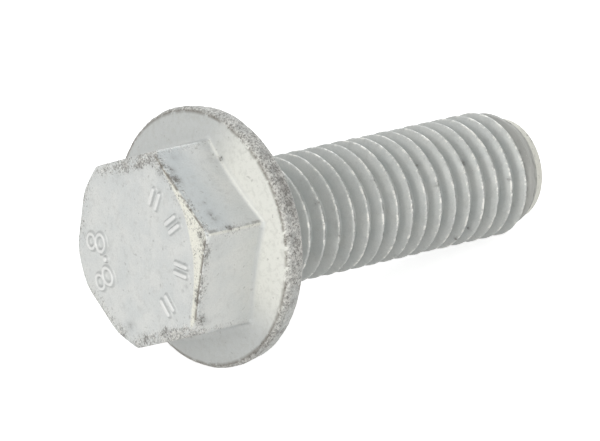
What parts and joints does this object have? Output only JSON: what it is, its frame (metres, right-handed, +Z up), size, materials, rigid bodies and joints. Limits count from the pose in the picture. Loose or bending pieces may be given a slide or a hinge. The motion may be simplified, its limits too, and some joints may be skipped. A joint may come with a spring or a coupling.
{
  "type": "locking screw",
  "caption": "Hexagon head locking screw with a flange, locking teeth under the head, a coarse right-hand thread up to the head and a tapered tip.",
  "frame": {"origin": "on the surface that the screw lies on, under the middle of its bounding box", "axes": "+X horizontally from the head towards the tip, +Z up; the screw's own axis lies in the XZ plane and falls by 9.9 degrees towards the tip, as the screw rests on the rim of its flange and on its last thread"},
  "size_m": [0.0392, 0.02, 0.0197],
  "materials": {
    "coated_steel": "matte pale grey zinc flake coating, worn to darker steel at the edges"
  },
  "bodies": {
    "root": {"locking_screw": "coated_steel"}
  },
  "joints": []
}
